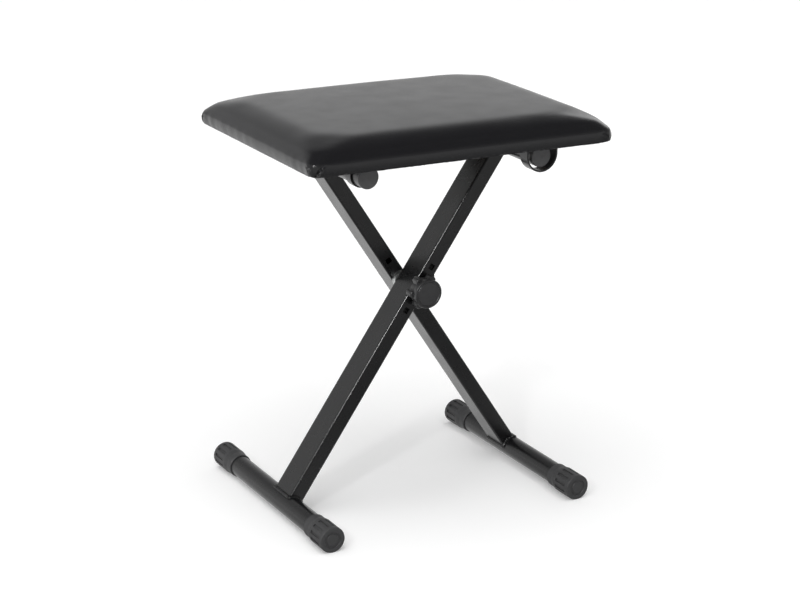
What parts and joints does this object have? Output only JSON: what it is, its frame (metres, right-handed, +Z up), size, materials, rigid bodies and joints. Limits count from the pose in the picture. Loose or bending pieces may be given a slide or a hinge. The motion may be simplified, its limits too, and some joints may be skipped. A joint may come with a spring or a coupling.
{
  "type": "folding keyboard bench",
  "caption": "Padded black bench seat on crossed steel legs that turn on a knob-clamped bolt, with sliding straps under the seat and capped foot tubes.",
  "frame": {"origin": "on the floor, under the middle of the bench standing at its full height", "axes": "+X along the seat's long side, +Y along its short side away from the knob, +Z up"},
  "size_m": [0.39, 0.29, 0.47],
  "materials": {
    "vinyl": "satin",
    "foam": "matte",
    "plywood": "matte",
    "black_steel": "satin",
    "zinc_steel": "satin",
    "rubber": "matte",
    "moulded_plastic": "satin",
    "brass": "satin"
  },
  "bodies": {
    "seat": {"seat_cover": "vinyl", "seat_foam": "foam", "seat_board": "plywood", "slide_rail_front": "zinc_steel", "slide_rail_rear": "zinc_steel", "rail_screws": "zinc_steel", "cover_staples": "zinc_steel"},
    "left_straps": {"left_strap_front": "black_steel", "left_strap_rear": "black_steel", "left_strap_bolts": "zinc_steel", "left_slide_nuts": "zinc_steel"},
    "rear_leg": {"rear_leg_tube": "black_steel", "rear_pivot_bush": "black_steel", "rear_leg_welds": "black_steel", "rear_clutch_disc": "zinc_steel", "right_foot_tube": "black_steel", "left_top_tube": "black_steel", "right_foot_cap_front": "rubber", "left_top_plug_front": "moulded_plastic", "right_foot_cap_rear": "rubber", "left_top_plug_rear": "moulded_plastic", "cross_bolt": "zinc_steel", "bolt_washer": "zinc_steel"},
    "front_leg": {"front_leg_tube": "black_steel", "front_pivot_bush": "black_steel", "front_leg_welds": "black_steel", "front_clutch_disc": "zinc_steel", "left_foot_tube": "black_steel", "right_top_tube": "black_steel", "left_foot_cap_front": "rubber", "right_top_plug_front": "moulded_plastic", "left_foot_cap_rear": "rubber", "right_top_plug_rear": "moulded_plastic", "knob_plate": "black_steel"},
    "right_straps": {"right_strap_front": "black_steel", "right_strap_rear": "black_steel", "right_strap_bolts": "zinc_steel", "right_slide_nuts": "zinc_steel"},
    "knob_carrier": {"knob_washer": "zinc_steel"},
    "knob": {"lock_knob": "moulded_plastic", "knob_insert": "brass", "knob_cover": "moulded_plastic"}
  },
  "joints": [
    {"name": "cross_pivot", "type": "hinge", "parent": "rear_leg", "child": "front_leg", "pos_m": [0, 0, 0.25969], "axis": [0, 1, 0], "range_deg": [-55.2, 33.75]},
    {"name": "left_strap_slide", "type": "slide", "parent": "seat", "child": "left_straps", "axis": [-1, 0, 0], "range_m": [-0.07072, 0.04328]},
    {"name": "left_top_pivot", "type": "hinge", "parent": "left_straps", "child": "rear_leg", "pos_m": [-0.1119, 0, 0.42497], "axis": [0, -1, 0], "range_deg": [-27.6, 16.88]},
    {"name": "right_top_pivot", "type": "hinge", "parent": "front_leg", "child": "right_straps", "pos_m": [0.1119, 0, 0.42497], "axis": [0, -1, 0], "range_deg": [-27.6, 16.88]},
    {"name": "knob_travel", "type": "slide", "parent": "rear_leg", "child": "knob_carrier", "axis": [0, -1, 0], "range_m": [0, 0.00251]},
    {"name": "knob_turn", "type": "hinge", "parent": "knob_carrier", "child": "knob", "pos_m": [0, -0.05, 0.25969], "axis": [0, -1, 0], "range_deg": [0, 720]}
  ],
  "couplings": [
    {"joint": "left_strap_slide", "follows": "cross_pivot", "m_per_rad": 0.0733},
    {"joint": "left_top_pivot", "follows": "cross_pivot", "ratio": 0.5},
    {"joint": "right_top_pivot", "follows": "cross_pivot", "ratio": 0.5},
    {"joint": "knob_travel", "follows": "knob_turn", "m_per_rad": 0.00019894}
  ]
}
